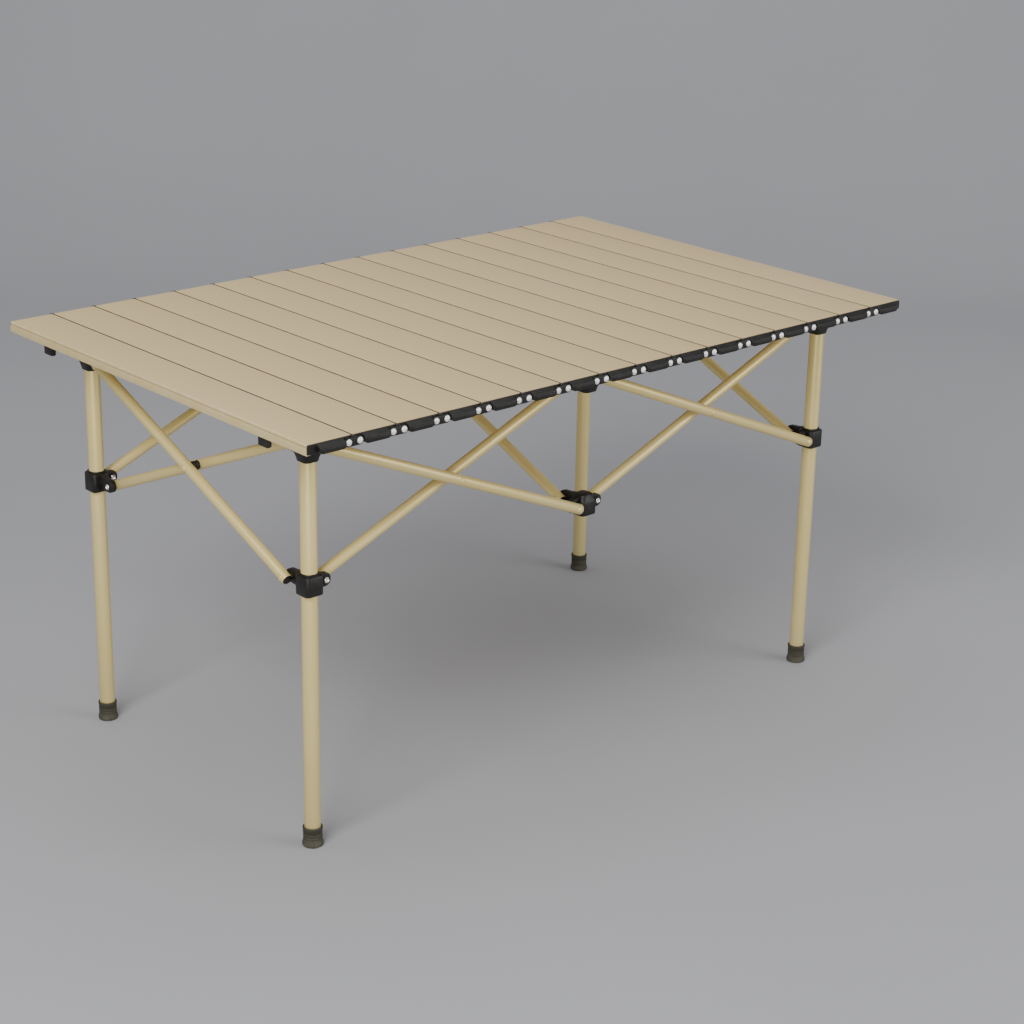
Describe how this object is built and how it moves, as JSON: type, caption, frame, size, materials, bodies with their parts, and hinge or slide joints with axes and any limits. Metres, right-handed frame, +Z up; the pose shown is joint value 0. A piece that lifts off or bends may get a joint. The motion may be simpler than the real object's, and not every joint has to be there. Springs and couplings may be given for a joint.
{
  "type": "camp kitchen table",
  "caption": "Folding aluminium camp table: a roll-top of hinged slats on a scissor frame of tubes with black plastic joints and rubber feet",
  "frame": {"origin": "on the floor under the middle of the table", "axes": "+X along the long side to the right, +Y from the front to the back, +Z up"},
  "size_m": [1.0994, 0.716, 0.6],
  "materials": {
    "slat_aluminium": "champagne anodised",
    "tube_aluminium": "champagne anodised",
    "black_plastic": "moulded",
    "foot_rubber": "moulded"
  },
  "bodies": {
    "front_left_leg_body": {"front_left_leg": "tube_aluminium", "front_left_foot": "foot_rubber", "front_left_top_bracket": "black_plastic"},
    "front_left_falling_bar_body": {"front_left_falling_bar": "tube_aluminium"},
    "front_lower_hub_body": {"front_lower_hub": "black_plastic"},
    "front_left_rising_bar_body": {"front_left_rising_bar": "tube_aluminium"},
    "front_left_collar_body": {"front_left_slide_collar": "black_plastic"},
    "front_top_hub_body": {"front_top_hub": "black_plastic"},
    "front_right_rising_bar_body": {"front_right_rising_bar": "tube_aluminium"},
    "front_right_leg_body": {"front_right_leg": "tube_aluminium", "front_right_foot": "foot_rubber", "front_right_top_bracket": "black_plastic"},
    "front_right_falling_bar_body": {"front_right_falling_bar": "tube_aluminium"},
    "front_right_collar_body": {"front_right_slide_collar": "black_plastic"},
    "left_cross_falling_bar_body": {"left_cross_falling_bar": "tube_aluminium"},
    "back_left_collar_body": {"back_left_slide_collar": "black_plastic"},
    "left_cross_rising_bar_body": {"left_cross_rising_bar": "tube_aluminium"},
    "back_left_leg_body": {"back_left_leg": "tube_aluminium", "back_left_foot": "foot_rubber", "back_left_top_bracket": "black_plastic"},
    "middle_cross_rising_bar_body": {"middle_cross_rising_bar": "tube_aluminium"},
    "back_top_hub_body": {"back_top_hub": "black_plastic"},
    "middle_cross_falling_bar_body": {"middle_cross_falling_bar": "tube_aluminium"},
    "back_lower_hub_body": {"back_lower_hub": "black_plastic"},
    "right_cross_falling_bar_body": {"right_cross_falling_bar": "tube_aluminium"},
    "back_right_collar_body": {"back_right_slide_collar": "black_plastic"},
    "right_cross_rising_bar_body": {"right_cross_rising_bar": "tube_aluminium"},
    "back_right_leg_body": {"back_right_leg": "tube_aluminium", "back_right_foot": "foot_rubber", "back_right_top_bracket": "black_plastic"},
    "back_left_falling_bar_body": {"back_left_falling_bar": "tube_aluminium"},
    "back_left_rising_bar_body": {"back_left_rising_bar": "tube_aluminium"},
    "back_right_rising_bar_body": {"back_right_rising_bar": "tube_aluminium"},
    "back_right_falling_bar_body": {"back_right_falling_bar": "tube_aluminium"},
    "slat_08_body": {"slat_08": "slat_aluminium"},
    "slat_09_body": {"slat_09": "slat_aluminium"},
    "slat_10_body": {"slat_10": "slat_aluminium"},
    "slat_11_body": {"slat_11": "slat_aluminium"},
    "slat_12_body": {"slat_12": "slat_aluminium"},
    "slat_13_body": {"slat_13": "slat_aluminium"},
    "slat_14_body": {"slat_14": "slat_aluminium"},
    "slat_15_body": {"slat_15": "slat_aluminium"},
    "slat_16_body": {"slat_16": "slat_aluminium", "front_right_slat_clip": "black_plastic", "back_right_slat_clip": "black_plastic"},
    "slat_07_body": {"slat_07": "slat_aluminium"},
    "slat_06_body": {"slat_06": "slat_aluminium"},
    "slat_05_body": {"slat_05": "slat_aluminium"},
    "slat_04_body": {"slat_04": "slat_aluminium"},
    "slat_03_body": {"slat_03": "slat_aluminium"},
    "slat_02_body": {"slat_02": "slat_aluminium"},
    "slat_01_body": {"slat_01": "slat_aluminium", "front_left_slat_clip": "black_plastic", "back_left_slat_clip": "black_plastic"}
  },
  "joints": [
    {"name": "frame_fold", "type": "hinge", "parent": "front_left_leg_body", "child": "front_left_falling_bar_body", "pos_m": [-0.455, -0.253, 0.555], "axis": [0, 1, 0], "range_deg": [0, 63]},
    {"name": "front_lower_hub_turn", "type": "hinge", "parent": "front_left_falling_bar_body", "child": "front_lower_hub_body", "pos_m": [-0.023, -0.253, 0.375], "axis": [0, 1, 0], "range_deg": [-63, 0]},
    {"name": "front_left_crossing", "type": "hinge", "parent": "front_left_falling_bar_body", "child": "front_left_rising_bar_body", "pos_m": [-0.239, -0.253, 0.465], "axis": [0, 1, 0], "range_deg": [-126, 0]},
    {"name": "front_left_collar_turn", "type": "hinge", "parent": "front_left_rising_bar_body", "child": "front_left_collar_body", "pos_m": [-0.455, -0.253, 0.375], "axis": [0, 1, 0], "range_deg": [0, 63]},
    {"name": "front_top_hub_turn", "type": "hinge", "parent": "front_left_rising_bar_body", "child": "front_top_hub_body", "pos_m": [-0.023, -0.253, 0.555], "axis": [0, 1, 0], "range_deg": [0, 63]},
    {"name": "front_right_rising_bar_turn", "type": "hinge", "parent": "front_lower_hub_body", "child": "front_right_rising_bar_body", "pos_m": [0.023, -0.253, 0.375], "axis": [0, 1, 0], "range_deg": [-63, 0]},
    {"name": "front_right_leg_turn", "type": "hinge", "parent": "front_right_rising_bar_body", "child": "front_right_leg_body", "pos_m": [0.455, -0.253, 0.555], "axis": [0, 1, 0], "range_deg": [0, 63]},
    {"name": "front_right_crossing", "type": "hinge", "parent": "front_right_rising_bar_body", "child": "front_right_falling_bar_body", "pos_m": [0.239, -0.253, 0.465], "axis": [0, 1, 0], "range_deg": [0, 126]},
    {"name": "front_right_collar_turn", "type": "hinge", "parent": "front_right_falling_bar_body", "child": "front_right_collar_body", "pos_m": [0.455, -0.253, 0.375], "axis": [0, 1, 0], "range_deg": [-63, 0]},
    {"name": "left_cross_falling_bar_turn", "type": "hinge", "parent": "front_left_leg_body", "child": "left_cross_falling_bar_body", "pos_m": [-0.478, -0.216, 0.555], "axis": [-1, 0, 0], "range_deg": [0, 63]},
    {"name": "back_left_collar_turn", "type": "hinge", "parent": "left_cross_falling_bar_body", "child": "back_left_collar_body", "pos_m": [-0.478, 0.216, 0.375], "axis": [-1, 0, 0], "range_deg": [-63, 0]},
    {"name": "left_crossing", "type": "hinge", "parent": "left_cross_falling_bar_body", "child": "left_cross_rising_bar_body", "pos_m": [-0.478, 0, 0.465], "axis": [-1, 0, 0], "range_deg": [-126, 0]},
    {"name": "back_left_leg_turn", "type": "hinge", "parent": "left_cross_rising_bar_body", "child": "back_left_leg_body", "pos_m": [-0.478, 0.216, 0.555], "axis": [-1, 0, 0], "range_deg": [0, 63]},
    {"name": "middle_cross_rising_bar_turn", "type": "hinge", "parent": "front_lower_hub_body", "child": "middle_cross_rising_bar_body", "pos_m": [0, -0.216, 0.375], "axis": [-1, 0, 0], "range_deg": [-63, 0]},
    {"name": "back_top_hub_turn", "type": "hinge", "parent": "middle_cross_rising_bar_body", "child": "back_top_hub_body", "pos_m": [0, 0.216, 0.555], "axis": [-1, 0, 0], "range_deg": [0, 63]},
    {"name": "middle_crossing", "type": "hinge", "parent": "middle_cross_rising_bar_body", "child": "middle_cross_falling_bar_body", "pos_m": [0, 0, 0.465], "axis": [-1, 0, 0], "range_deg": [0, 126]},
    {"name": "back_lower_hub_turn", "type": "hinge", "parent": "middle_cross_falling_bar_body", "child": "back_lower_hub_body", "pos_m": [0, 0.216, 0.375], "axis": [-1, 0, 0], "range_deg": [-63, 0]},
    {"name": "right_cross_falling_bar_turn", "type": "hinge", "parent": "front_right_leg_body", "child": "right_cross_falling_bar_body", "pos_m": [0.478, -0.216, 0.555], "axis": [-1, 0, 0], "range_deg": [0, 63]},
    {"name": "back_right_collar_turn", "type": "hinge", "parent": "right_cross_falling_bar_body", "child": "back_right_collar_body", "pos_m": [0.478, 0.216, 0.375], "axis": [-1, 0, 0], "range_deg": [-63, 0]},
    {"name": "right_crossing", "type": "hinge", "parent": "right_cross_falling_bar_body", "child": "right_cross_rising_bar_body", "pos_m": [0.478, 0, 0.465], "axis": [-1, 0, 0], "range_deg": [-126, 0]},
    {"name": "back_right_leg_turn", "type": "hinge", "parent": "right_cross_rising_bar_body", "child": "back_right_leg_body", "pos_m": [0.478, 0.216, 0.555], "axis": [-1, 0, 0], "range_deg": [0, 63]},
    {"name": "back_left_falling_bar_turn", "type": "hinge", "parent": "back_left_leg_body", "child": "back_left_falling_bar_body", "pos_m": [-0.455, 0.253, 0.555], "axis": [0, 1, 0], "range_deg": [0, 63]},
    {"name": "back_left_crossing", "type": "hinge", "parent": "back_left_falling_bar_body", "child": "back_left_rising_bar_body", "pos_m": [-0.239, 0.253, 0.465], "axis": [0, 1, 0], "range_deg": [-126, 0]},
    {"name": "back_right_rising_bar_turn", "type": "hinge", "parent": "back_right_leg_body", "child": "back_right_rising_bar_body", "pos_m": [0.455, 0.253, 0.555], "axis": [0, 1, 0], "range_deg": [-63, 0]},
    {"name": "back_right_crossing", "type": "hinge", "parent": "back_right_rising_bar_body", "child": "back_right_falling_bar_body", "pos_m": [0.239, 0.253, 0.465], "axis": [0, 1, 0], "range_deg": [0, 126]},
    {"name": "top_lift", "type": "slide", "parent": "front_left_leg_body", "child": "slat_08_body", "axis": [0, 0, 1], "range_m": [0, 0.12]},
    {"name": "right_roll", "type": "hinge", "parent": "slat_08_body", "child": "slat_09_body", "pos_m": [0, 0, 0.5945], "axis": [0, -1, 0], "range_deg": [0, 22]},
    {"name": "slat_10_hinge", "type": "hinge", "parent": "slat_09_body", "child": "slat_10_body", "pos_m": [0.06875, 0, 0.5945], "axis": [0, -1, 0], "range_deg": [0, 22]},
    {"name": "slat_11_hinge", "type": "hinge", "parent": "slat_10_body", "child": "slat_11_body", "pos_m": [0.1375, 0, 0.5945], "axis": [0, -1, 0], "range_deg": [0, 22]},
    {"name": "slat_12_hinge", "type": "hinge", "parent": "slat_11_body", "child": "slat_12_body", "pos_m": [0.20625, 0, 0.5945], "axis": [0, -1, 0], "range_deg": [0, 22]},
    {"name": "slat_13_hinge", "type": "hinge", "parent": "slat_12_body", "child": "slat_13_body", "pos_m": [0.275, 0, 0.5945], "axis": [0, -1, 0], "range_deg": [0, 22]},
    {"name": "slat_14_hinge", "type": "hinge", "parent": "slat_13_body", "child": "slat_14_body", "pos_m": [0.34375, 0, 0.5945], "axis": [0, -1, 0], "range_deg": [0, 22]},
    {"name": "slat_15_hinge", "type": "hinge", "parent": "slat_14_body", "child": "slat_15_body", "pos_m": [0.4125, 0, 0.5945], "axis": [0, -1, 0], "range_deg": [0, 22]},
    {"name": "slat_16_hinge", "type": "hinge", "parent": "slat_15_body", "child": "slat_16_body", "pos_m": [0.48125, 0, 0.5945], "axis": [0, -1, 0], "range_deg": [0, 22]},
    {"name": "left_roll", "type": "hinge", "parent": "slat_08_body", "child": "slat_07_body", "pos_m": [-0.06875, 0, 0.5945], "axis": [0, 1, 0], "range_deg": [0, 22]},
    {"name": "slat_06_hinge", "type": "hinge", "parent": "slat_07_body", "child": "slat_06_body", "pos_m": [-0.1375, 0, 0.5945], "axis": [0, 1, 0], "range_deg": [0, 22]},
    {"name": "slat_05_hinge", "type": "hinge", "parent": "slat_06_body", "child": "slat_05_body", "pos_m": [-0.20625, 0, 0.5945], "axis": [0, 1, 0], "range_deg": [0, 22]},
    {"name": "slat_04_hinge", "type": "hinge", "parent": "slat_05_body", "child": "slat_04_body", "pos_m": [-0.275, 0, 0.5945], "axis": [0, 1, 0], "range_deg": [0, 22]},
    {"name": "slat_03_hinge", "type": "hinge", "parent": "slat_04_body", "child": "slat_03_body", "pos_m": [-0.34375, 0, 0.5945], "axis": [0, 1, 0], "range_deg": [0, 22]},
    {"name": "slat_02_hinge", "type": "hinge", "parent": "slat_03_body", "child": "slat_02_body", "pos_m": [-0.4125, 0, 0.5945], "axis": [0, 1, 0], "range_deg": [0, 22]},
    {"name": "slat_01_hinge", "type": "hinge", "parent": "slat_02_body", "child": "slat_01_body", "pos_m": [-0.48125, 0, 0.5945], "axis": [0, 1, 0], "range_deg": [0, 22]}
  ],
  "couplings": [
    {"joint": "front_lower_hub_turn", "follows": "frame_fold", "ratio": -1},
    {"joint": "front_left_crossing", "follows": "frame_fold", "ratio": -2},
    {"joint": "front_left_collar_turn", "follows": "frame_fold", "ratio": 1},
    {"joint": "front_top_hub_turn", "follows": "frame_fold", "ratio": 1},
    {"joint": "front_right_rising_bar_turn", "follows": "frame_fold", "ratio": -1},
    {"joint": "front_right_leg_turn", "follows": "frame_fold", "ratio": 1},
    {"joint": "front_right_crossing", "follows": "frame_fold", "ratio": 2},
    {"joint": "front_right_collar_turn", "follows": "frame_fold", "ratio": -1},
    {"joint": "left_cross_falling_bar_turn", "follows": "frame_fold", "ratio": 1},
    {"joint": "back_left_collar_turn", "follows": "frame_fold", "ratio": -1},
    {"joint": "left_crossing", "follows": "frame_fold", "ratio": -2},
    {"joint": "back_left_leg_turn", "follows": "frame_fold", "ratio": 1},
    {"joint": "middle_cross_rising_bar_turn", "follows": "frame_fold", "ratio": -1},
    {"joint": "back_top_hub_turn", "follows": "frame_fold", "ratio": 1},
    {"joint": "middle_crossing", "follows": "frame_fold", "ratio": 2},
    {"joint": "back_lower_hub_turn", "follows": "frame_fold", "ratio": -1},
    {"joint": "right_cross_falling_bar_turn", "follows": "frame_fold", "ratio": 1},
    {"joint": "back_right_collar_turn", "follows": "frame_fold", "ratio": -1},
    {"joint": "right_crossing", "follows": "frame_fold", "ratio": -2},
    {"joint": "back_right_leg_turn", "follows": "frame_fold", "ratio": 1},
    {"joint": "back_left_falling_bar_turn", "follows": "frame_fold", "ratio": 1},
    {"joint": "back_left_crossing", "follows": "frame_fold", "ratio": -2},
    {"joint": "back_right_rising_bar_turn", "follows": "frame_fold", "ratio": -1},
    {"joint": "back_right_crossing", "follows": "frame_fold", "ratio": 2},
    {"joint": "slat_10_hinge", "follows": "right_roll", "ratio": 1},
    {"joint": "slat_11_hinge", "follows": "right_roll", "ratio": 1},
    {"joint": "slat_12_hinge", "follows": "right_roll", "ratio": 1},
    {"joint": "slat_13_hinge", "follows": "right_roll", "ratio": 1},
    {"joint": "slat_14_hinge", "follows": "right_roll", "ratio": 1},
    {"joint": "slat_15_hinge", "follows": "right_roll", "ratio": 1},
    {"joint": "slat_16_hinge", "follows": "right_roll", "ratio": 1},
    {"joint": "slat_06_hinge", "follows": "left_roll", "ratio": 1},
    {"joint": "slat_05_hinge", "follows": "left_roll", "ratio": 1},
    {"joint": "slat_04_hinge", "follows": "left_roll", "ratio": 1},
    {"joint": "slat_03_hinge", "follows": "left_roll", "ratio": 1},
    {"joint": "slat_02_hinge", "follows": "left_roll", "ratio": 1},
    {"joint": "slat_01_hinge", "follows": "left_roll", "ratio": 1}
  ]
}
